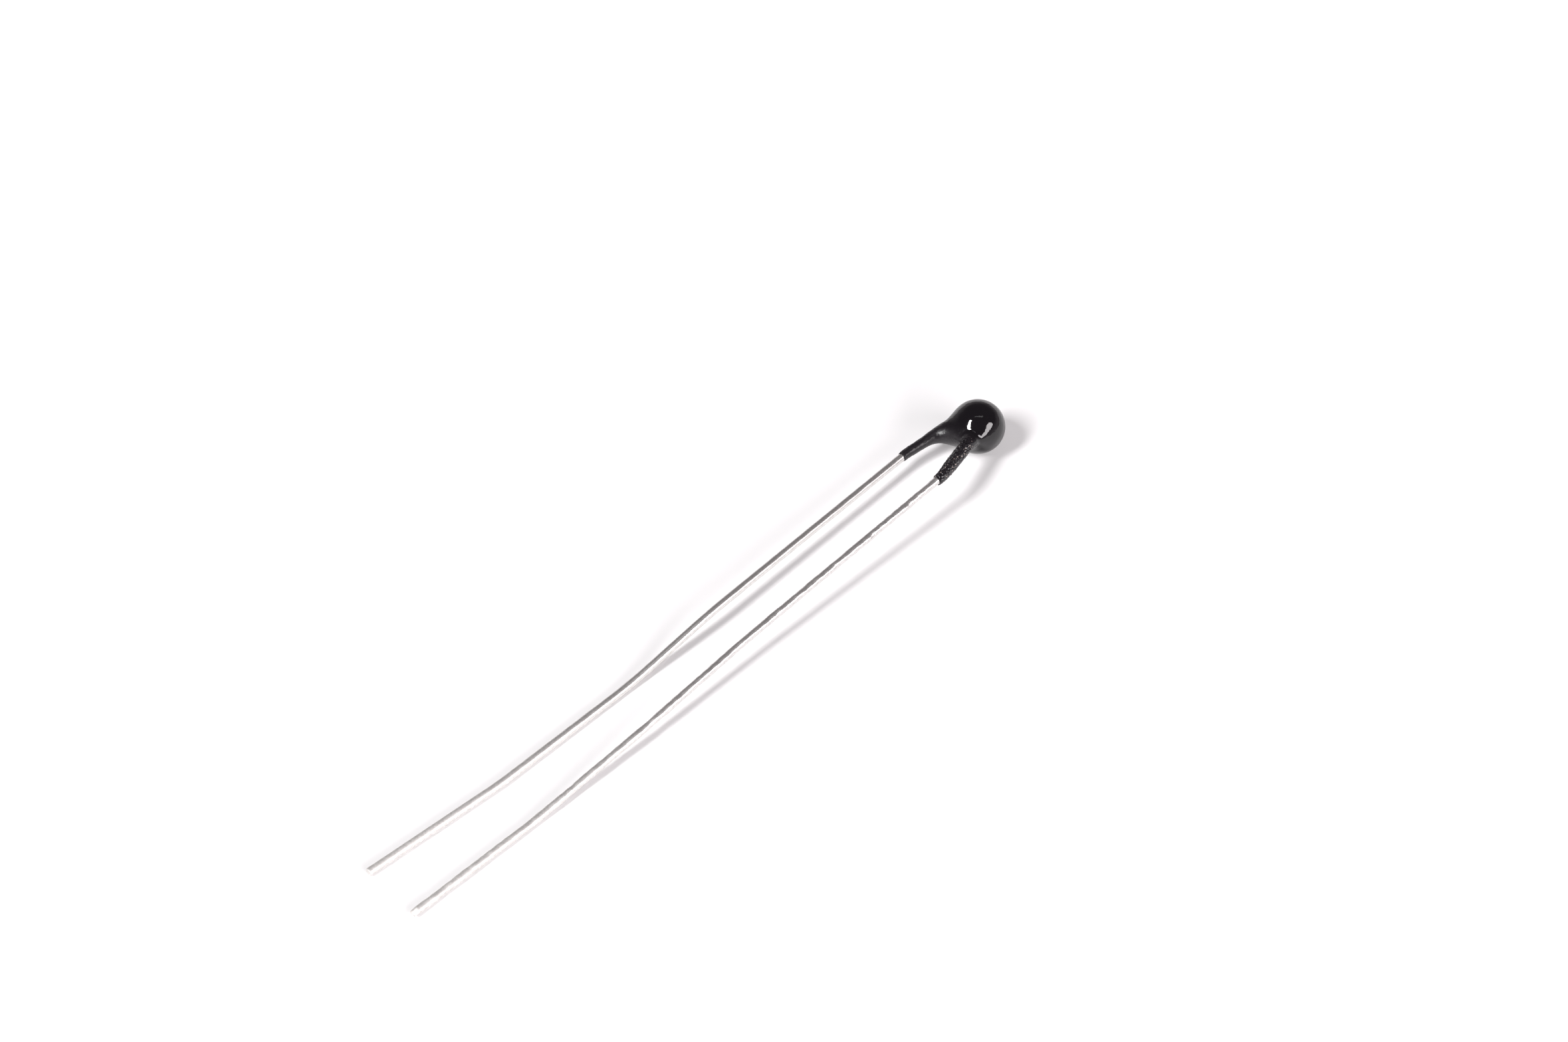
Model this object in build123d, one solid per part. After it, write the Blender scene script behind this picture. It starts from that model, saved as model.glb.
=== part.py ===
"""A bead thermistor with two bare tinned leads, lying on a table.

A small ceramic chip stands between the flattened runs of two wires. It is soldered to both, and the
whole head was dipped in black epoxy, which ran a little way down each wire and left a rounded crotch
between them. +X runs along the leads towards the bead, +Z is up, and the table is at Z = 0.
All sizes are in millimetres and all angles in degrees.
"""
from build123d import *
from math import cos, radians, sin, sqrt
import os

# The bead and the plane that holds its two legs
bead_diameter = 2.0
bead_drop = 0.2              # the bead's middle lies this far under the plane of the legs
plane_tilt = 22.0            # the right lead is the higher one

# The wire
wire_diameter = 0.3
lead_reach = 27.22           # from the back of the bead to the left tip, along X
right_tip_step = 0.08        # the right tip lies this much further
nip_length = 0.22            # the right tip was pinched by the cutters
nip_edge = 0.1

# The sensing chip and what joins it to the wires
chip_width = 0.8
chip_thickness = 0.45
electrode_margin = 0.05      # bare ceramic round each electrode
electrode_thickness = 0.03
solder_length = 0.6
solder_flat = 0.26           # the full-width part of that length
solder_thickness = 0.14      # over the wire
solder_film = 0.03           # between the wire and its electrode
seat_end = 0.3               # the wires end this far past the chip's middle
seat_run = 0.5               # and leave it this far behind

# The coat of epoxy. Reaches count from the back of the bead
coat_thickness = 0.04        # over the wire where the coat ends
left_leg_reach = 1.87        # to the end of the coat
right_leg_reach = 2.3
leg_root_radius = 0.28       # a leg where it starts inside the bead
leg_neck_radius = 0.24       # a leg where it leaves the shoulders
left_neck = 0.45             # how far along the left leg its neck is, as a share
right_neck = 0.4
crotch_reach = 0.22          # to the rim of the crotch
crotch_radius = 0.74
crotch_offset = 0.14         # the crotch stands this far to the left
crotch_rim = 0.3             # depth of the rounding along that rim
crotch_rim_height = 0.5      # half its height

# How the wires run: in the plane of the legs, then over the table
left_shoulder_reach = 0.25   # the left wire turns here
left_shoulder_offset = 1.02
left_leg_offset = 1.13
right_leg_offset = 1.19
leg_straight = 0.25          # straight coated run at the end of each leg
chip_bend_radius = 0.5
leg_bend_radius = 1.2
bare_bend_radius = 12.0

bead_radius = bead_diameter / 2
wire_radius = wire_diameter / 2
leg_end_radius = wire_radius + coat_thickness
electrode_width = chip_width - 2 * electrode_margin
left_bare_length = lead_reach - left_leg_reach
right_bare_length = lead_reach + right_tip_step - right_leg_reach
electrode_face = chip_thickness / 2 + electrode_thickness
seat_offset = electrode_face + solder_film + wire_radius

# Bends of the bare wires and their tips: share of the bare length, offset to the side, height of the middle
left_bend_shares = (0.39, 0.54, 0.78, 1.0)
left_bend_offsets = (0.75, 0.76, 0.77, 1.16)
left_bend_heights = (0.74, wire_radius, wire_radius, wire_radius)
right_bend_shares = (0.38, 0.58, 0.78, 1.0)
right_bend_offsets = (-1.10, -1.20, -1.19, -1.14)
right_bend_heights = (0.97, 0.57, wire_radius, wire_radius)

# The shoulders start just inside the bead and follow its curve up to the second of these shares of its radius
bead_ring_shares = (0.15, 0.42)
bead_ring_tuck = 0.001
# Then they flatten: reach, width past the middle of each wire, half height, lift over the wires
shoulder_rings = (
    (-0.2, 0.27, 0.64, -0.13),
    (0.1, 0.21, 0.42, -0.05),
    (0.62, 0.07, 0.18, 0.0),
)

leg_plane = Plane(
    origin=(0, 0, bead_radius + bead_drop),
    x_dir=(1, 0, 0),
    z_dir=(0, sin(radians(plane_tilt)), cos(radians(plane_tilt))),
)
bead_middle = leg_plane.to_local_coords(Vector(0, 0, bead_radius))


def in_leg_plane(along, across):
    """A point in the plane of the legs, counted from above the bead's middle."""
    return leg_plane.from_local_coords(Vector(along, across, 0))


def chip_points(side):
    """The straight run of a wire beside the chip, from its buried end to its first bend."""
    return [in_leg_plane(seat_end, side * seat_offset), in_leg_plane(-seat_run, side * seat_offset)]


def leg_points(side):
    """The bends of a wire inside its coated leg. The last one stands just before the end of the coat."""
    if side > 0:
        shoulder = in_leg_plane(-bead_radius - left_shoulder_reach, left_shoulder_offset)
        return [shoulder, in_leg_plane(leg_straight - bead_radius - left_leg_reach, left_leg_offset)]
    return [in_leg_plane(leg_straight - bead_radius - right_leg_reach, -right_leg_offset)]


def bare_points(side):
    """The bends of the bare wire, down to the table and along it to the tip."""
    if side > 0:
        start, length = -bead_radius - left_leg_reach, left_bare_length
        bends = zip(left_bend_shares, left_bend_offsets, left_bend_heights)
    else:
        start, length = -bead_radius - right_leg_reach, right_bare_length
        bends = zip(right_bend_shares, right_bend_offsets, right_bend_heights)
    return [Vector(start - share * length, across, height) for share, across, height in bends]


def wire_path(side):
    """The middle line of a whole wire: straight runs joined by tangent arcs."""
    chip, leg, bare = chip_points(side), leg_points(side), bare_points(side)
    radii = [chip_bend_radius] + [leg_bend_radius] * len(leg) + [bare_bend_radius] * (len(bare) - 1)
    return FilletPolyline(*chip, *leg, *bare, radius=radii)


def nip(tip, backwards):
    """What the cutters took off a wire's end: a wedge above and a wedge below."""
    end = Plane(origin=tip, x_dir=(0, 1, 0), z_dir=backwards)
    far = wire_diameter
    above = Polyline((nip_edge / 2, 0), (far, 0), (far, nip_length), (wire_radius, nip_length), close=True)
    wedge = extrude(Plane.XZ * make_face(above), amount=far, both=True)
    return [end * wedge, end * mirror(wedge, about=Plane.YZ)]


def lead(side):
    """One tinned wire from the chip to its cut tip."""
    path = wire_path(side)
    wire = sweep(Plane(origin=path @ 0, z_dir=path % 0) * Circle(wire_radius), path=path)
    if side < 0:
        wire -= nip(path @ 1, -(path % 1))
    return wire


def chip():
    """The square ceramic chip, standing on edge between the wires."""
    return leg_plane * Box(chip_width, chip_thickness, chip_width)


def electrode(side):
    """The thin fired-silver face on one side of the chip."""
    middle = side * (chip_thickness + electrode_thickness) / 2
    return leg_plane * Pos(0, middle, 0) * Box(electrode_width, electrode_thickness, electrode_width)


def solder(side, wire):
    """The blob that joins a wire to its electrode: a barrel round the wire, flat against the electrode."""
    radius = wire_radius + solder_thickness
    end, shoulder = solder_length / 2, solder_flat / 2
    half = Polyline((-end, 0), (-end, wire_radius), (-shoulder, radius), (shoulder, radius), (end, wire_radius),
                    (end, 0), close=True)
    barrel = Pos(0, side * seat_offset, 0) * revolve(make_face(half), axis=Axis.X)
    behind = Pos(0, side * (electrode_face - radius), 0) * Box(2 * solder_length, 2 * radius, 4 * radius)
    return leg_plane * (barrel - behind) - wire


def leg(side):
    """The coat on one wire: a tube that narrows from the bead to where the epoxy ran out."""
    bend, run_out = leg_points(side)[-1], bare_points(side)[0]
    end = bend + (run_out - bend).normalized() * leg_straight
    points = [chip_points(side)[1], *leg_points(side), end]
    path = FilletPolyline(*points, radius=leg_bend_radius)
    neck = left_neck if side > 0 else right_neck
    rings = [(0, leg_root_radius), (neck, leg_neck_radius), (1, leg_end_radius)]
    faces = [Plane(origin=path @ share, z_dir=path % share) * Circle(radius) for share, radius in rings]
    return sweep([face.face() for face in faces], path=path, multisection=True)


def wire_offset(side, along):
    """How far to the side a wire lies at one place along it, with its bends taken as sharp."""
    corners = [leg_plane.to_local_coords(point) for point in (chip_points(side)[1], *leg_points(side))]
    for near, far in zip(corners, corners[1:]):
        if along >= far.X:
            break
    return near.Y + (far.Y - near.Y) * (along - near.X) / (far.X - near.X)


def shoulder_ring(middle, half_width, half_height):
    """One oval section of the shoulders, square to the leads."""
    return (Plane(origin=middle, x_dir=(0, 1, 0), z_dir=(-1, 0, 0)) * Ellipse(half_width, half_height)).face()


def shoulders():
    """The epoxy between the bead and the legs: a loft that starts as the bead and flattens."""
    rings = []
    for share in bead_ring_shares:
        radius = bead_radius * sqrt(1 - share**2)
        middle = bead_middle - (share * bead_radius, 0, 0)
        rings.append(shoulder_ring(middle, radius, radius - bead_ring_tuck))
    for reach, past, half_height, lift in shoulder_rings:
        along = -bead_radius - reach
        left, right = wire_offset(1, along), wire_offset(-1, along)
        middle = Vector(along, (left + right) / 2, lift)
        rings.append(shoulder_ring(middle, (left - right) / 2 + past, half_height))
    return loft(rings)


def crotch():
    """The tool that hollows the crotch: a spool whose waist is the rounded rim."""
    outer, high = crotch_radius + crotch_rim, bead_diameter
    with BuildSketch(Plane.XZ) as half:
        with BuildLine():
            Polyline((0, high), (outer, high), (outer, crotch_rim_height))
            EllipticalCenterArc((outer, 0), crotch_rim, crotch_rim_height, start_angle=90, arc_size=180)
            Polyline((outer, -crotch_rim_height), (outer, -high), (0, -high), (0, high))
        make_face()
    spool = revolve(half.sketch, axis=Axis.Z)
    return Pos(-bead_radius - crotch_reach - crotch_radius, crotch_offset, 0) * spool


def coat(held):
    """The dipped epoxy in one piece, closed round everything that it holds."""
    bead = Pos(*bead_middle) * Sphere(bead_radius)
    body = leg_plane * (bead + (shoulders() - crotch())) + leg(1) + leg(-1)
    for piece in held:
        body -= piece
    return body


os.makedirs("parts", exist_ok=True)
wires = {1: lead(1), -1: lead(-1)}
nodes = {"lead_left": wires[1], "lead_right": wires[-1], "ntc_chip": chip()}
for side, name in ((1, "left"), (-1, "right")):
    nodes["electrode_" + name] = electrode(side)
    nodes["solder_" + name] = solder(side, wires[side])
nodes["epoxy_coating"] = coat(nodes.values())

# The part's origin is the middle of its underside
box = Compound(list(nodes.values())).bounding_box()
home = Pos(-box.center().X, -box.center().Y, -box.min.Z)
for name, piece in nodes.items():
    export_step(home * piece, f"parts/{name}.step")
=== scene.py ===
import bpy
import numpy as np
from mathutils import Matrix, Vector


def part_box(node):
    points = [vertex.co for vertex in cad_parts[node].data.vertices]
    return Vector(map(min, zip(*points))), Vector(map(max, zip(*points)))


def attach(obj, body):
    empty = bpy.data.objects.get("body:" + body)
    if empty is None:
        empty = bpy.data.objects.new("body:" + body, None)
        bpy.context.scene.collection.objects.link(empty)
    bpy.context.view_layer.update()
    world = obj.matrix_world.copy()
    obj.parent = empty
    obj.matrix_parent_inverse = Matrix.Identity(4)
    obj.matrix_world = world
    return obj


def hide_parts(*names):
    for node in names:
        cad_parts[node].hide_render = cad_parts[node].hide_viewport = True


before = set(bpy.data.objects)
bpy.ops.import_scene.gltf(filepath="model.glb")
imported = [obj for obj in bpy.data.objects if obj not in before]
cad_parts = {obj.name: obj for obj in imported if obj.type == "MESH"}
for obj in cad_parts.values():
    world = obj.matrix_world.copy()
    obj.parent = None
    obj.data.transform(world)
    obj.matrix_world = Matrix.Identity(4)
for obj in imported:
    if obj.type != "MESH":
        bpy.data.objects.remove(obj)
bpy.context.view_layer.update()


# Sensing chip, silvered faces and solder
# A small block of sintered metal oxide, fired with silver on two sides, and plain solder that joins each silvered
# side to a wire. All of it is sealed in the epoxy, so the model's own pieces stay and only get their finishes.
def linear(code):
    """An sRGB colour written as hex, turned to the linear values that a shader takes."""
    values = np.array([int(code[i : i + 2], 16) / 255 for i in (1, 3, 5)])
    values = np.where(values <= 0.04045, values / 12.92, ((values + 0.055) / 1.055) ** 2.4)
    return (*values, 1.0)


def pattern(size):
    """The scale of a texture whose cells have this size in millimetres."""
    return 1000 / size


def new_material(name):
    """An empty node material, its nodes, and its shader, already joined to the output."""
    material = bpy.data.materials.new(name)
    material.use_nodes = True
    return material, material.node_tree, material.node_tree.nodes["Principled BSDF"]


def add(tree, kind, settings=None, links=None):
    """Adds one node. settings go to its own properties or to its inputs, and links join outputs of other nodes
    to its inputs. An input goes by its name or by its number."""
    node = tree.nodes.new(kind)
    for name, value in (settings or {}).items():
        if isinstance(name, str) and hasattr(node, name):
            setattr(node, name, value)
        else:
            node.inputs[name].default_value = value
    for name, source in (links or {}).items():
        tree.links.new(source, node.inputs[name])
    return node


def sealed_finish(name, code, metallic, roughness):
    """Sintered oxide, fired silver or plain solder: a matt or satin colour with a fine fired grain of 0.05 mm."""
    material, tree, shader = new_material(name)
    place = add(tree, "ShaderNodeTexCoord").outputs["Object"]
    grain = add(tree, "ShaderNodeTexNoise", {"Scale": pattern(0.05), "Detail": 3.0}, {"Vector": place})
    bump = add(tree, "ShaderNodeBump", {"Strength": 0.3, "Distance": 0.000005}, {"Height": grain.outputs["Fac"]})
    shader.inputs["Base Color"].default_value = linear(code)
    shader.inputs["Metallic"].default_value = metallic
    shader.inputs["Roughness"].default_value = roughness
    tree.links.new(bump.outputs["Normal"], shader.inputs["Normal"])
    return material


sealed_finishes = {
    "ntc_chip": sealed_finish("sintered_oxide", "#3a3733", 0.0, 0.7),
    "electrode": sealed_finish("fired_silver", "#dedad2", 1.0, 0.4),
    "solder": sealed_finish("plain_solder", "#c4c4c2", 1.0, 0.35),
}
for name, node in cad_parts.items():
    for start, finish in sealed_finishes.items():
        if name.startswith(start):
            node.data.materials.clear()
            node.data.materials.append(finish)


# Leads
# Two wires of copper-clad steel, 0.30 mm thick, drawn, hot-tinned and bent by hand. Each is soldered to a side of
# the chip, leaves the bead in the sloping plane of its legs and comes down to the table. The right one's tin is
# lumpy.
wire_radius = 0.15     # lengths are in millimetres, and become metres when a mesh is made
bead_radius = 1.0
plane_tilt = np.radians(22.0)
across_legs = np.array([0, np.cos(plane_tilt), -np.sin(plane_tilt)])
chip_middle = np.array(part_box("ntc_chip")).mean(axis=0) * 1000
bead_middle = np.array([chip_middle[0], chip_middle[1], bead_radius])
seat_end, seat_run, seat_offset = 0.3, 0.5, 0.435


def in_leg_plane(along, across):
    """A point in the sloping plane through the chip: its middle, plus a step along X and one across the legs."""
    return chip_middle + [along, 0, 0] + across * across_legs


def on_table(back, across, height):
    """A point behind the bead's middle, with its height over the table."""
    return np.array([bead_middle[0] - back, bead_middle[1] + across, height])


left_corners = [
    in_leg_plane(seat_end, seat_offset),
    in_leg_plane(-seat_run, seat_offset),
    in_leg_plane(-1.32, 0.95),
    in_leg_plane(-2.62, 1.13),
    on_table(12.7565, 0.75, 0.74),
    on_table(16.559, 0.76, wire_radius),
    on_table(22.643, 0.77, wire_radius),
    on_table(28.22, 1.16, wire_radius),
]
right_corners = [
    in_leg_plane(seat_end, -seat_offset),
    in_leg_plane(-seat_run, -seat_offset),
    in_leg_plane(-3.05, -1.19),
    on_table(12.8, -1.10, 0.97),
    on_table(17.8, -1.20, 0.57),
    on_table(22.8, -1.19, wire_radius),
    on_table(28.298, -1.14, wire_radius),
]
chip_bend, leg_bend, bare_bend = 0.5, 1.2, 12.0
left_radii = [chip_bend, leg_bend, leg_bend, bare_bend, bare_bend, bare_bend]
right_radii = [chip_bend, leg_bend, bare_bend, bare_bend, bare_bend]
bend_points = 9
wire_step = 0.04
wire_around = 28
tip_bevel = 0.012
tip_shares = (0.93, 0.5)     # radii of the two rings that close a cut end
dents = ((10.8, 1.9), (7.3, 1.2), (1.3, 2.2))     # from the right tip, and turned round the wire
dent_depth, dent_length = 0.13, 0.22     # as a share of the radius, and along the wire
nip_length, nip_share = 0.22, 0.36     # the right tip was pinched by the cutters to this share of its thickness


def unit(vectors):
    """The same vectors with length one."""
    return vectors / np.linalg.norm(vectors, axis=-1, keepdims=True)


def rounded_route(corners, radii, step):
    """Evenly spaced points along straight runs joined by tangent arcs. The arc of a corner starts
    radius * tan(turn / 2) before it, and its points are middle + radius * (cos(a) * u + sin(a) * v)."""
    points = [corners[0][None]]
    for before, corner, after, radius in zip(corners, corners[1:], corners[2:], radii):
        back, onward = unit(before - corner), unit(after - corner)
        turn = np.pi - np.arccos(np.clip(back @ onward, -1, 1))
        start = corner + back * radius * np.tan(turn / 2)
        middle = corner + unit(back + onward) * radius / np.cos(turn / 2)
        a = np.linspace(0, turn, bend_points)[:, None]
        points.append(middle + radius * (np.cos(a) * unit(start - middle) - np.sin(a) * back))
    points = np.concatenate([*points, corners[-1][None]])
    length = np.concatenate([[0], np.cumsum(np.linalg.norm(np.diff(points, axis=0), axis=1))])
    places = np.linspace(0, length[-1], int(length[-1] / step) + 1)
    return np.stack([np.interp(places, length, points[:, axis]) for axis in range(3)], axis=1)


def directions(line):
    """For each point of a line: its direction, the level direction across it and the one upwards."""
    tangent = unit(np.gradient(line, axis=0))
    level = unit(np.cross(tangent, [0, 0, 1.0]))
    return tangent, level, np.cross(level, tangent)


def angles(count):
    """Evenly spaced angles once round, in one row."""
    return np.linspace(0, 2 * np.pi, count, endpoint=False)[None, :]


def waves(places, turned, seed, sizes):
    """Soft noise, mostly from -1 to 1, on a tube: a sum of sine waves of some sizes, which run along it and
    0 to 3 whole times round it."""
    random = np.random.default_rng(seed)
    total = np.zeros(np.broadcast(places, turned).shape)
    for size in sizes:
        for turns in range(4):
            phase = random.uniform(0, 2 * np.pi)
            stretch = random.uniform(0.8, 1.25)
            total += np.sin(2 * np.pi * places * stretch / size + turns * turned + phase)
    return total / (4 * len(sizes)) ** 0.5 / 1.5


def wire_rings(line, swell, flat):
    """Rings of a wire along its line: the point + radius * (cos(a) * level + flat * sin(a) * up). Two more
    rings close its cut end."""
    tangent, level, up = directions(line)
    a = angles(wire_around)
    spoke = np.cos(a)[..., None] * level[:, None] + (flat * np.sin(a))[..., None] * up[:, None]
    rings = line[:, None] + (wire_radius * swell)[..., None] * spoke
    face = [line[-1] + (rings[-1] - line[-1]) * share for share in tip_shares]
    rings[-1] -= tangent[-1] * tip_bevel
    return np.concatenate([rings, face])


def ring_piece(name, rings):
    """A closed piece from rings of points: quads between neighbours, and a fan of triangles to the middle
    of the first and of the last ring."""
    count, around = rings.shape[:2]
    middles = rings[[0, -1]].mean(axis=1)
    index = np.arange(count * around).reshape(count, around)
    beside = np.roll(index, -1, axis=1)
    quads = np.stack([index[:-1], index[1:], beside[1:], beside[:-1]], axis=-1).reshape(-1, 4)
    first = np.stack([index[0], beside[0], np.full(around, count * around)], axis=-1)
    last = np.stack([beside[-1], index[-1], np.full(around, count * around + 1)], axis=-1)
    mesh = bpy.data.meshes.new(name)
    points = np.concatenate([rings.reshape(-1, 3), middles]) * 0.001
    mesh.from_pydata(points.tolist(), [], quads.tolist() + first.tolist() + last.tolist())
    mesh.polygons.foreach_set("use_smooth", np.ones(len(mesh.polygons), bool))
    mesh.update()
    piece = bpy.data.objects.new(name, mesh)
    bpy.context.scene.collection.objects.link(piece)
    return piece


left_line = rounded_route(left_corners, left_radii, wire_step)
left_places = np.arange(len(left_line))[:, None] * wire_step
left_swell = np.minimum(0.985 + 0.015 * waves(left_places, angles(wire_around), 3, (0.9, 2.3)), 1.0)
lead_left = ring_piece("lead_left_tinned", wire_rings(left_line, left_swell, np.ones((len(left_line), 1))))

right_line = rounded_route(right_corners, right_radii, wire_step)
right_places = np.arange(len(right_line))[:, None] * wire_step
right_swell = 0.945 + 0.055 * waves(right_places, angles(wire_around), 8, (0.45, 0.9, 2.0))
from_tip = right_places[-1] - right_places
for place, turned in dents:
    hollow = np.exp(-(((from_tip - place) / dent_length) ** 2))
    right_swell = right_swell - dent_depth * hollow * (0.6 + 0.4 * np.cos(angles(wire_around) - turned))
pinched = nip_share + (1 - nip_share) * np.clip(from_tip / nip_length, 0, 1) ** 0.7
lead_right = ring_piece("lead_right_tinned", wire_rings(right_line, np.minimum(right_swell, 1.0), pinched))


def tinned_wire(name, lump_height):
    """Hot-tinned wire: tin with faint draw lines along it, 0.06 mm apart, and a grain of 0.11 mm where it froze.
    It shines next to the bead and has gone dull towards the tips, where it was handled."""
    material, tree, shader = new_material(name)
    place = add(tree, "ShaderNodeTexCoord").outputs["Object"]
    drawn = (pattern(1.1), pattern(0.0625), pattern(0.0625))
    along = add(tree, "ShaderNodeMapping", {"Scale": drawn}, {"Vector": place})
    lines = add(tree, "ShaderNodeTexNoise", {"Scale": 1.0, "Detail": 3.0}, {"Vector": along.outputs[0]})
    frozen = {"Scale": pattern(0.11), "Detail": 4.0, "Roughness": 0.6}
    grain = add(tree, "ShaderNodeTexNoise", frozen, {"Vector": place})
    tint = add(tree, "ShaderNodeValToRGB", links={"Fac": grain.outputs["Fac"]})
    for element, position, code in zip(tint.color_ramp.elements, (0.3, 0.7), ("#d8d5d2", "#eeecea")):
        element.position, element.color = position, linear(code)
    reach = add(tree, "ShaderNodeSeparateXYZ", links={"Vector": place}).outputs["X"]
    bright_to_dull = {"From Min": -0.001, "From Max": -0.012, "To Min": 0.31, "To Max": 0.62}
    handled = add(tree, "ShaderNodeMapRange", bright_to_dull, {"Value": reach})
    crystals = add(tree, "ShaderNodeTexNoise", {"Scale": pattern(0.033), "Detail": 2.0}, {"Vector": place})
    spread = {"From Min": 0.35, "From Max": 0.65, "To Min": 0.9, "To Max": 1.12}
    uneven = add(tree, "ShaderNodeMapRange", spread, {"Value": crystals.outputs["Fac"]})
    rough = add(tree, "ShaderNodeMath", {"operation": "MULTIPLY"},
                {0: handled.outputs["Result"], 1: uneven.outputs["Result"]})
    low = add(tree, "ShaderNodeBump", {"Strength": 0.25, "Distance": 0.00001}, {"Height": lines.outputs["Fac"]})
    bumps = add(tree, "ShaderNodeBump", {"Strength": 1.0, "Distance": lump_height},
                {"Height": grain.outputs["Fac"], "Normal": low.outputs["Normal"]})
    shader.inputs["Metallic"].default_value = 0.92
    tree.links.new(tint.outputs["Color"], shader.inputs["Base Color"])
    tree.links.new(rough.outputs[0], shader.inputs["Roughness"])
    tree.links.new(bumps.outputs["Normal"], shader.inputs["Normal"])
    return material


lead_left.data.materials.append(tinned_wire("tinned_wire_smooth", 0.0000012))
lead_right.data.materials.append(tinned_wire("tinned_wire_lumpy", 0.000004))
for lead, node in ((lead_left, "lead_left"), (lead_right, "lead_right")):
    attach(lead, "root")
    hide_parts(node)


# Epoxy coat
# The whole head was dipped once in black epoxy. Surface tension drew it into a ball, it ran a little way down
# both wires, and between them it set as a rounded saddle. The right leg caught fine grit.
left_coat_end, right_coat_end = 2.87, 3.3     # places along a leg count from the bead's middle backwards
left_leg_places, left_leg_radii = [0.4, 0.9, 1.3, 1.8, left_coat_end], [0.3, 0.34, 0.25, 0.2, 0.18]
right_leg_places, right_leg_radii = [0.5, 0.85, 1.5, 2.4, right_coat_end], [0.08, 0.2, 0.24, 0.23, 0.19]
leg_step = 0.12
past_end = 0.3     # a leg's line runs on past the end of the coat, so that the end is cut flat
end_edge = 0.05
end_raggedness, ragged_sizes = 0.03, (0.12, 0.25)
lumps_start, lumps_run = 1.0, 0.6
left_lumps, left_lump_sizes = 0.006, (0.12, 0.3)
right_lumps, right_lump_sizes = 0.014, (0.09, 0.13, 0.24)
skin_gap = 0.0007     # keeps the ball's skin inside the model's
web_middle = in_leg_plane(-0.86, 0.12) - [0, 0, 0.12]
web_sizes = np.array([0.72, 0.85, 0.34])
crotch_middle = in_leg_plane(-1.96, 0.14)
crotch_radius, crotch_rounding = 0.74, 0.4
left_blend, web_blend, right_blend = 0.5, 0.24, 0.2
above_legs = np.array([0, np.sin(plane_tilt), np.cos(plane_tilt)])


def leg_line(corners, radii, coat_end):
    """The middle line of a wire inside its leg, from the end of the chip to a little past the coat."""
    line = rounded_route(corners, radii, leg_step)
    return line[line[:, 0] > bead_middle[0] - coat_end - past_end]


left_leg_line = leg_line(left_corners[1:5], left_radii[1:3], left_coat_end)
right_leg_line = leg_line(right_corners[1:4], right_radii[1:2], right_coat_end)


def blend(first, second, width):
    """The smaller of two distances, with a rounded valley of this width where they are nearly equal."""
    share = np.clip(0.5 + 0.5 * (second - first) / width, 0, 1)
    return second * (1 - share) + first * share - width * share * (1 - share)


def lumps_in_space(points, seed, sizes):
    """Soft noise, mostly from -1 to 1, in space: a sum of sine waves, five in random directions for each size."""
    random = np.random.default_rng(seed)
    total = np.zeros(len(points))
    for size in sizes:
        for heading in unit(random.normal(size=(5, 3))):
            total += np.sin(points @ heading * 2 * np.pi / size + random.uniform(0, 2 * np.pi))
    return total / (5 * len(sizes)) ** 0.5 / 1.5


def leg_distance(points, line, coat_end, places, radii):
    """Distance to a leg: to the nearest point of its line, less a radius given at some of its places, and
    cut off where the coat ends."""
    starts, runs = line[:-1], np.diff(line, axis=0)
    offset = points[:, None] - starts[None]
    share = np.clip((offset * runs).sum(-1) / (runs**2).sum(-1), 0, 1)
    away = np.linalg.norm(offset - share[..., None] * runs, axis=-1).min(axis=1)
    reach = bead_middle[0] - points[:, 0]
    return -blend(np.interp(reach, places, radii) - away, coat_end - reach, end_edge)


def coat_distance(points):
    """Distance to the coat: ball, web and both legs blended, with the crotch hollowed out of the web."""
    ball = np.linalg.norm(points - bead_middle, axis=1) - (bead_radius - skin_gap)
    ragged = end_raggedness * lumps_in_space(points, 4, ragged_sizes)
    left = leg_distance(points, left_leg_line, left_coat_end + ragged, left_leg_places, left_leg_radii)
    right = leg_distance(points, right_leg_line, right_coat_end + ragged, right_leg_places, right_leg_radii)
    lumpy = np.clip((bead_middle[0] - points[:, 0] - lumps_start) / lumps_run, 0, 1)
    right = right - lumpy * right_lumps * lumps_in_space(points, 6, right_lump_sizes)
    left = left - lumpy * left_lumps * lumps_in_space(points, 7, left_lump_sizes)
    offset = points - web_middle
    local = np.stack([offset[:, 0], offset @ across_legs, offset @ above_legs], axis=1) / web_sizes
    web = (np.linalg.norm(local, axis=1) - 1) * web_sizes.min()
    from_crotch = points - crotch_middle
    hollow = np.hypot(from_crotch[:, 0], from_crotch @ across_legs) - crotch_radius
    web = -blend(-web, hollow, crotch_rounding)
    return blend(blend(blend(ball, left, left_blend), web, web_blend), right, right_blend)


def ball_rings(radius, count, around):
    """Rings of a ball about the X axis: radius * (cos(t), sin(t) * cos(a), sin(t) * sin(a))."""
    t = np.linspace(0.02, np.pi - 0.02, count)[:, None]
    a = angles(around)
    return radius * np.stack([np.cos(t) + 0 * a, np.sin(t) * np.cos(a), np.sin(t) * np.sin(a)], axis=-1)


def tube_rings(line, radius, around):
    """Rings of one radius along a line: the point + radius * (cos(a) * level + sin(a) * up)."""
    _, level, up = directions(line)
    a = angles(around)[..., None]
    return line[:, None] + radius * (np.cos(a) * level[:, None] + np.sin(a) * up[:, None])


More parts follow.
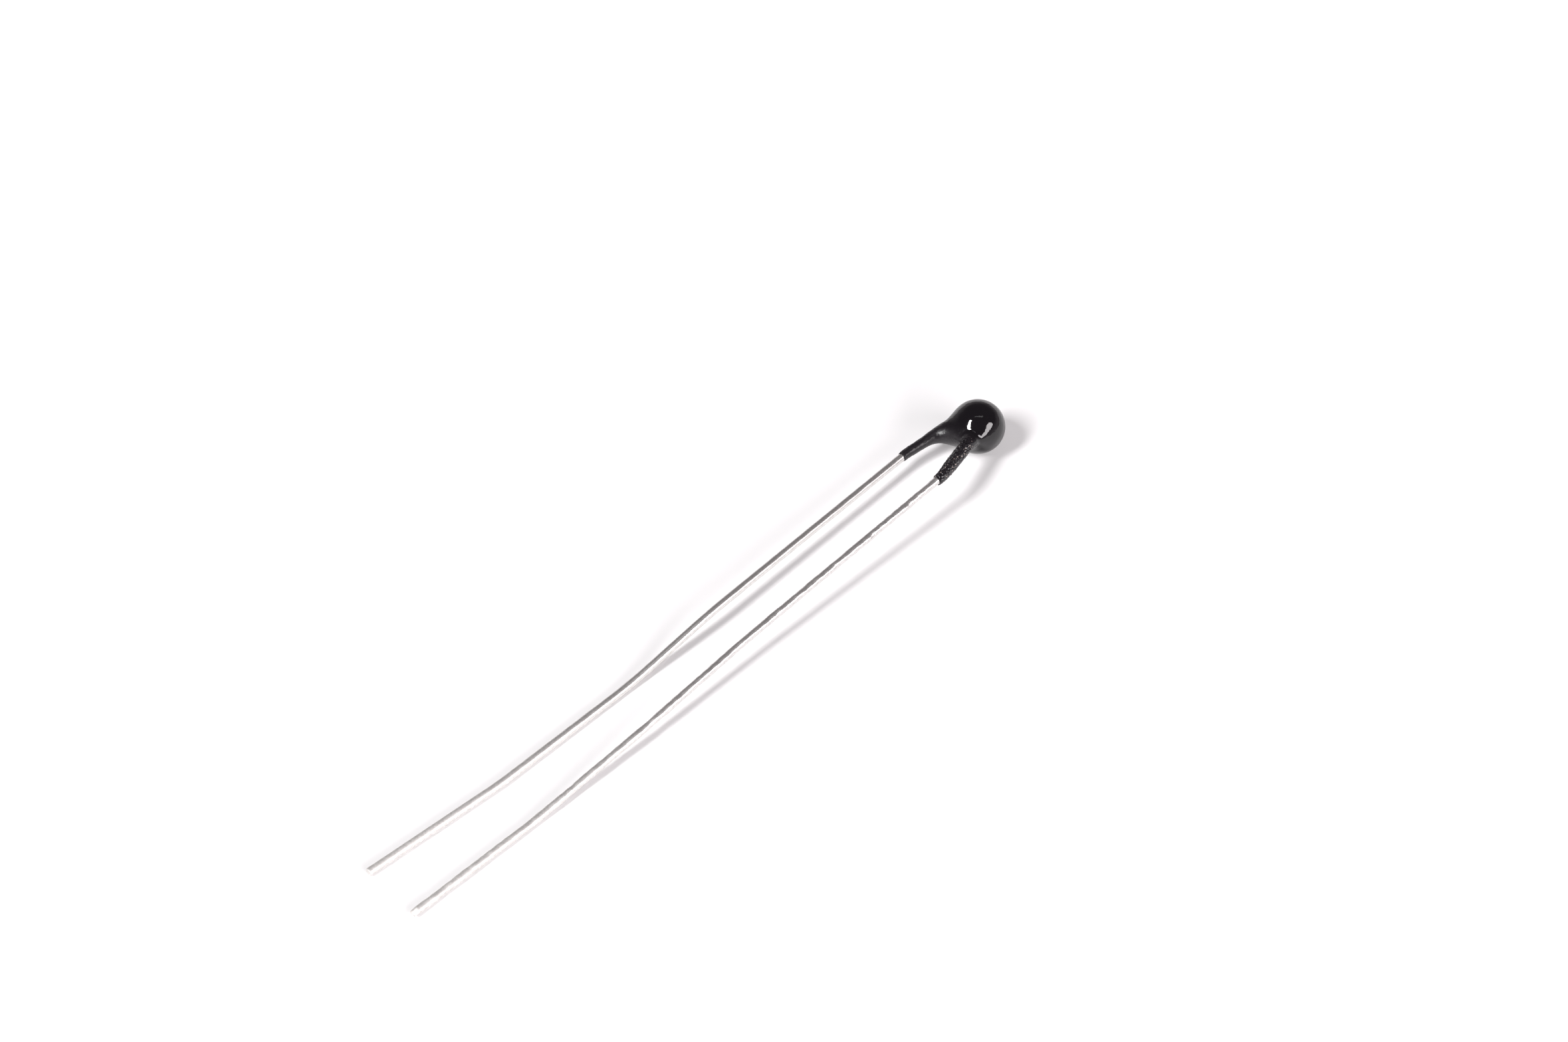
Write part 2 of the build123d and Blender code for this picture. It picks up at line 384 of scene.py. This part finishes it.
def joined(name, ring_sets):
    """One mesh, still in millimetres, from several closed sets of rings."""
    points, faces, start = [], [], 0
    for rings in ring_sets:
        count, around = rings.shape[:2]
        index = np.arange(count * around).reshape(count, around) + start
        beside = np.roll(index, -1, axis=1)
        quads = np.stack([index[:-1], index[1:], beside[1:], beside[:-1]], axis=-1).reshape(-1, 4)
        points.append(rings.reshape(-1, 3))
        faces += quads.tolist() + [index[0].tolist(), index[-1][::-1].tolist()]
        start += count * around
    mesh = bpy.data.meshes.new(name)
    mesh.from_pydata(np.concatenate(points).tolist(), [], faces)
    mesh.update()
    return mesh


# A rough shape of ball, web and legs becomes one skin, and then each of its points moves onto the true coat
rough_leg_radius, rough_leg_around = 0.24, 24
rough_web_sizes = [0.6, 0.8, 0.3]
skin_cell = 0.024
rough_coat = bpy.data.objects.new("rough_coat", joined("rough_coat", [
    bead_middle + ball_rings(bead_radius, 40, 60),
    web_middle + ball_rings(1.0, 20, 40) * rough_web_sizes,
    tube_rings(left_leg_line, rough_leg_radius, rough_leg_around),
    tube_rings(right_leg_line, rough_leg_radius, rough_leg_around),
]))
bpy.context.scene.collection.objects.link(rough_coat)
one_skin = rough_coat.modifiers.new("one_skin", "REMESH")
one_skin.mode = "VOXEL"
one_skin.voxel_size = skin_cell
bpy.context.view_layer.update()
skin = bpy.data.meshes.new_from_object(rough_coat.evaluated_get(bpy.context.evaluated_depsgraph_get()))
skin.name = "epoxy_coat"
bpy.data.objects.remove(rough_coat)

# Newton's method: a point moves against the slope of its distance by distance / slope squared
probe = 0.002
moves = 6
least_slope_squared = 0.25
points = np.empty(len(skin.vertices) * 3)
skin.vertices.foreach_get("co", points)
points = points.reshape(-1, 3)
for move in range(moves):
    here = coat_distance(points)
    slope = np.stack([coat_distance(points + np.eye(3)[axis] * probe) - here for axis in range(3)], axis=1) / probe
    points -= (here / np.maximum((slope**2).sum(axis=1), least_slope_squared))[:, None] * slope
skin.vertices.foreach_set("co", (points * 0.001).ravel())
skin.polygons.foreach_set("use_smooth", np.ones(len(skin.polygons), bool))
skin.update()

# Where the coat is dull, from the bead's shoulders on, and where it holds grit, round the right leg only
dull_start, dull_run = 0.78, 0.4
grit_start, grit_run, grit_width = 0.95, 0.35, 0.32
reach = bead_middle[0] - points[:, 0]
near_right = np.linalg.norm(points[:, None] - right_leg_line[None, ::2], axis=2).min(axis=1) < grit_width
dull_share = np.clip((reach - dull_start) / dull_run, 0, 1)
grit_share = near_right * np.clip((reach - grit_start) / grit_run, 0, 1)
for name, values in (("dull", dull_share), ("grit", grit_share)):
    skin.attributes.new(name, "FLOAT", "POINT").data.foreach_set("value", values)
coat = bpy.data.objects.new("epoxy_coat", skin)
bpy.context.scene.collection.objects.link(coat)


def dipped_epoxy():
    """Dipped black epoxy: a deep gloss like wet paint on the ball with sags of 0.3 mm, duller with a grain of
    0.07 mm where it ran thin on the legs. On the right leg cells of 0.09 mm hold glittering grit, and a third of
    them get a pale colour that is partly pale grit and partly painted glints, drawn a little coarser than the real
    ones so that they show."""
    material, tree, shader = new_material("dipped_epoxy")
    place = add(tree, "ShaderNodeTexCoord").outputs["Object"]
    dull = add(tree, "ShaderNodeAttribute", {"attribute_name": "dull"}).outputs["Fac"]
    grit = add(tree, "ShaderNodeAttribute", {"attribute_name": "grit"}).outputs["Fac"]
    sag = add(tree, "ShaderNodeTexNoise", {"Scale": pattern(0.28), "Detail": 2.0}, {"Vector": place})
    thin = {"Scale": pattern(0.07), "Detail": 3.0, "Roughness": 0.6}
    skin_grain = add(tree, "ShaderNodeTexNoise", thin, {"Vector": place})
    cells = add(tree, "ShaderNodeTexVoronoi", {"Scale": pattern(0.09), "Randomness": 1.0}, {"Vector": place})
    colour = add(tree, "ShaderNodeMix", {"data_type": "RGBA", 6: linear("#0d0a0e"), 7: linear("#161217")},
                 {"Factor": dull})
    cell_draw = add(tree, "ShaderNodeSeparateColor", links={"Color": cells.outputs["Color"]})
    chosen = add(tree, "ShaderNodeMath", {"operation": "GREATER_THAN", 1: 0.66}, {0: cell_draw.outputs["Red"]})
    inside = add(tree, "ShaderNodeMath", {"operation": "LESS_THAN", 1: 0.26}, {0: cells.outputs["Distance"]})
    both = add(tree, "ShaderNodeMath", {"operation": "MULTIPLY"}, {0: chosen.outputs[0], 1: inside.outputs[0]})
    # Pale spots on a third of the grit cells: partly pale grit grains, partly painted glints that stand in for the
    # grit's sparkle
    pale_grit_and_painted_glints = add(tree, "ShaderNodeMath", {"operation": "MULTIPLY"}, {0: both.outputs[0], 1: grit})
    speckled_with_painted_glints = add(tree, "ShaderNodeMix", {"data_type": "RGBA", 7: linear("#a3948e")},
                   {"Factor": pale_grit_and_painted_glints.outputs[0], 6: colour.outputs[2]})
    rough = add(tree, "ShaderNodeMapRange", {"To Min": 0.07, "To Max": 0.34}, {"Value": dull})
    sparkle = add(tree, "ShaderNodeMix", {"data_type": "FLOAT", 3: 0.13}, {0: grit, 2: rough.outputs["Result"]})
    sags = add(tree, "ShaderNodeBump", {"Strength": 0.7, "Distance": 0.000016}, {"Height": sag.outputs["Fac"]})
    grained = add(tree, "ShaderNodeBump", {"Distance": 0.00001},
                  {"Strength": dull, "Height": skin_grain.outputs["Fac"], "Normal": sags.outputs["Normal"]})
    gritty = add(tree, "ShaderNodeBump", {"Distance": 0.00004},
                 {"Strength": grit, "Height": cells.outputs["Distance"], "Normal": grained.outputs["Normal"]})
    shader.inputs["IOR"].default_value = 1.55
    tree.links.new(speckled_with_painted_glints.outputs[2], shader.inputs["Base Color"])
    tree.links.new(sparkle.outputs[0], shader.inputs["Roughness"])
    tree.links.new(gritty.outputs["Normal"], shader.inputs["Normal"])
    return material


skin.materials.clear()
skin.materials.append(dipped_epoxy())
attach(coat, "root")
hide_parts("epoxy_coating")


# Table
# A plain white card under the part, 6 m across so that its edge stays out of sight. It takes the shadows and
# stands in the reflections.
table_half = 3.0
card_glow = 0.2


def white_card():
    """Matt white card. The camera and reflections see it a little brighter, for a white background that keeps
    the shadows, and the light that it bounces is that of plain card."""
    material, tree, shader = new_material("white_card")
    shader.inputs["Base Color"].default_value = linear("#f6f4f5")
    shader.inputs["Roughness"].default_value = 0.9
    glow = add(tree, "ShaderNodeEmission", {"Color": linear("#ffffff"), "Strength": 1.0})
    path = add(tree, "ShaderNodeLightPath")
    seen = add(tree, "ShaderNodeMath", {"operation": "MAXIMUM"},
               {0: path.outputs["Is Camera Ray"], 1: path.outputs["Is Glossy Ray"]})
    share = add(tree, "ShaderNodeMath", {"operation": "MULTIPLY", 1: card_glow}, {0: seen.outputs[0]})
    mix = add(tree, "ShaderNodeMixShader", links={0: share.outputs[0], 1: shader.outputs[0], 2: glow.outputs[0]})
    tree.links.new(mix.outputs[0], tree.nodes["Material Output"].inputs["Surface"])
    return material


card = bpy.data.meshes.new("table")
card.from_pydata([(-table_half, -table_half, 0), (table_half, -table_half, 0), (table_half, table_half, 0),
                  (-table_half, table_half, 0)], [], [(0, 1, 2, 3)])
card.materials.append(white_card())
table = bpy.data.objects.new("table", card)
bpy.context.scene.collection.objects.link(table)


# Camera
# It looks down at the part by 50 degrees from in front of the leads' right side, close enough to show some
# perspective.
camera_turn = np.radians(44.76)
camera_slope = np.radians(50.0)
camera_aside, camera_below, camera_distance = 6.99, 3.41, 153.5     # from the bead's middle, in millimetres
image_width = 2359
focal_pixels = 6400
right = np.array([np.cos(camera_turn), -np.sin(camera_turn), 0])
away = np.array([np.sin(camera_turn), np.cos(camera_turn), 0])
forward = away * np.cos(camera_slope) - np.array([0, 0, 1]) * np.sin(camera_slope)
upward = np.cross(right, forward)
camera_place = bead_middle - camera_aside * right - camera_below * upward - camera_distance * forward
lens = bpy.data.cameras.new("camera")
lens.sensor_width = 36.0
lens.lens = focal_pixels * lens.sensor_width / image_width
lens.clip_start = 0.001
lens.clip_end = 20.0
camera = bpy.data.objects.new("camera", lens)
camera_axes = np.stack([right, upward, -forward], axis=1).tolist()
camera.matrix_world = Matrix.Translation(camera_place * 0.001) @ Matrix(camera_axes).to_4x4()
bpy.context.scene.collection.objects.link(camera)
bpy.context.scene.camera = camera


# Light
# A softbox on the left in front, a long low one on the right in front, and a dim panel overhead behind the
# part. The room is dim above and paler near the horizon, like a white sweep behind the table.
def softbox(name, toward, along, distance, width, length, power, colour):
    """A rectangular lamp that faces the part. toward is its direction and along the one of its long side,
    both as right, away and up parts."""
    lamp = bpy.data.lights.new(name, "AREA")
    lamp.shape = "RECTANGLE"
    lamp.size, lamp.size_y, lamp.energy = width, length, power
    lamp.color = linear(colour)[:3]
    axes = np.stack([right, away, [0, 0, 1.0]])
    back = unit(np.array(toward) @ axes)
    tall = np.array(along) @ axes
    tall = unit(tall - (tall @ back) * back)
    turned = Matrix(np.stack([np.cross(tall, back), tall, back], axis=1).tolist()).to_4x4()
    box = bpy.data.objects.new(name, lamp)
    box.matrix_world = Matrix.Translation(back * distance) @ turned
    bpy.context.scene.collection.objects.link(box)


softbox("key_softbox", (-0.74, -0.43, 0.95), (0.27, 0.52, 0.42), 1.2, 0.24, 0.5, 14.8, "#ffffff")
softbox("low_softbox", (0.60, -0.60, 0.42), (0.50, 0.80, 0.40), 1.2, 0.36, 1.3, 14.0, "#fffafc")
softbox("overhead_panel", (0.03, 0.04, 1.0), (1.0, 0.0, 0.0), 1.3, 0.1, 0.8, 0.35, "#ffffff")

sweep_top, sweep_strength, room_strength = 0.45, 0.5, 0.13
room = bpy.data.worlds.new("room")
room.use_nodes = True
heading = add(room.node_tree, "ShaderNodeTexCoord").outputs["Generated"]
height = add(room.node_tree, "ShaderNodeSeparateXYZ", links={"Vector": heading}).outputs["Z"]
sweep = add(room.node_tree, "ShaderNodeMapRange", {
    "interpolation_type": "SMOOTHSTEP", "From Min": 0.0, "From Max": sweep_top, "To Min": sweep_strength,
    "To Max": room_strength}, {"Value": height})
background = room.node_tree.nodes["Background"]
background.inputs["Color"].default_value = linear("#fff6fa")
room.node_tree.links.new(sweep.outputs["Result"], background.inputs["Strength"])
bpy.context.scene.world = room
bpy.context.scene.view_settings.view_transform = "Standard"
